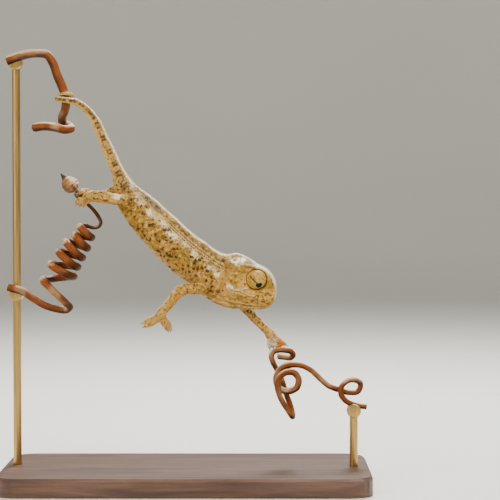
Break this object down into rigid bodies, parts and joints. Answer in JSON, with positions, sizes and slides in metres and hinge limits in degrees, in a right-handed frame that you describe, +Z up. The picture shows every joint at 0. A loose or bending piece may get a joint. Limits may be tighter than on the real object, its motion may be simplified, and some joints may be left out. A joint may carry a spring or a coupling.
{
  "type": "chameleon display model",
  "caption": "Young common chameleon, life size and still, stretched head-down between cut lengths of dry vine tendril that a flat wooden base carries on thin metal rods.",
  "frame": {"origin": "middle of the display base's underside, at floor level", "axes": "+X the way the animal reaches (to the right seen from its right side), +Y the animal's left side, +Z up"},
  "size_m": [0.099, 0.046, 0.1176],
  "materials": {
    "skin_head": "dry granular scales",
    "skin_body": "dry granular scales with dark spots and pale patches",
    "skin_limbs": "dry granular scales with small dark spots",
    "skin_eyelid": "fine rings of scales",
    "eye_dark": "wet gloss",
    "claw_horn": "smooth horn",
    "dry_bark": "dry, finely grooved tendril bark",
    "dry_bud": "dry, wrinkled bud",
    "base_wood": "dark satin wood",
    "rod_brass": "satin"
  },
  "bodies": {
    "root": {"claw_left_foot_1": "claw_horn", "claw_left_foot_2": "claw_horn", "claw_left_foot_3": "claw_horn", "claw_left_foot_4": "claw_horn", "claw_left_foot_5": "claw_horn", "claw_left_hand_1": "claw_horn", "claw_left_hand_2": "claw_horn", "claw_left_hand_3": "claw_horn", "claw_left_hand_4": "claw_horn", "claw_left_hand_5": "claw_horn", "claw_right_foot_1": "claw_horn", "claw_right_foot_2": "claw_horn", "claw_right_foot_3": "claw_horn", "claw_right_foot_4": "claw_horn", "claw_right_foot_5": "claw_horn", "claw_right_hand_1": "claw_horn", "claw_right_hand_2": "claw_horn", "claw_right_hand_3": "claw_horn", "claw_right_hand_4": "claw_horn", "claw_right_hand_5": "claw_horn", "head": "skin_head", "left_eye": "eye_dark", "left_eye_turret": "skin_eyelid", "left_foot": "skin_limbs", "left_forearm": "skin_limbs", "left_hand": "skin_limbs", "left_shin": "skin_limbs", "left_thigh": "skin_limbs", "left_upper_arm": "skin_limbs", "lower_jaw": "skin_head", "neck": "skin_body", "perch_bud": "dry_bud", "perch_hand": "dry_bark", "perch_hind": "dry_bark", "perch_tail": "dry_bark", "right_eye": "eye_dark", "right_eye_turret": "skin_eyelid", "right_foot": "skin_limbs", "right_forearm": "skin_limbs", "right_hand": "skin_limbs", "right_shin": "skin_limbs", "right_thigh": "skin_limbs", "right_upper_arm": "skin_limbs", "stand_base": "base_wood", "stand_rod_left": "rod_brass", "stand_rod_right": "rod_brass", "tail_base": "skin_body", "tail_bend": "skin_body", "tail_coil": "skin_body", "tail_middle": "skin_body", "trunk_front": "skin_body", "trunk_rear": "skin_body"}
  },
  "joints": []
}
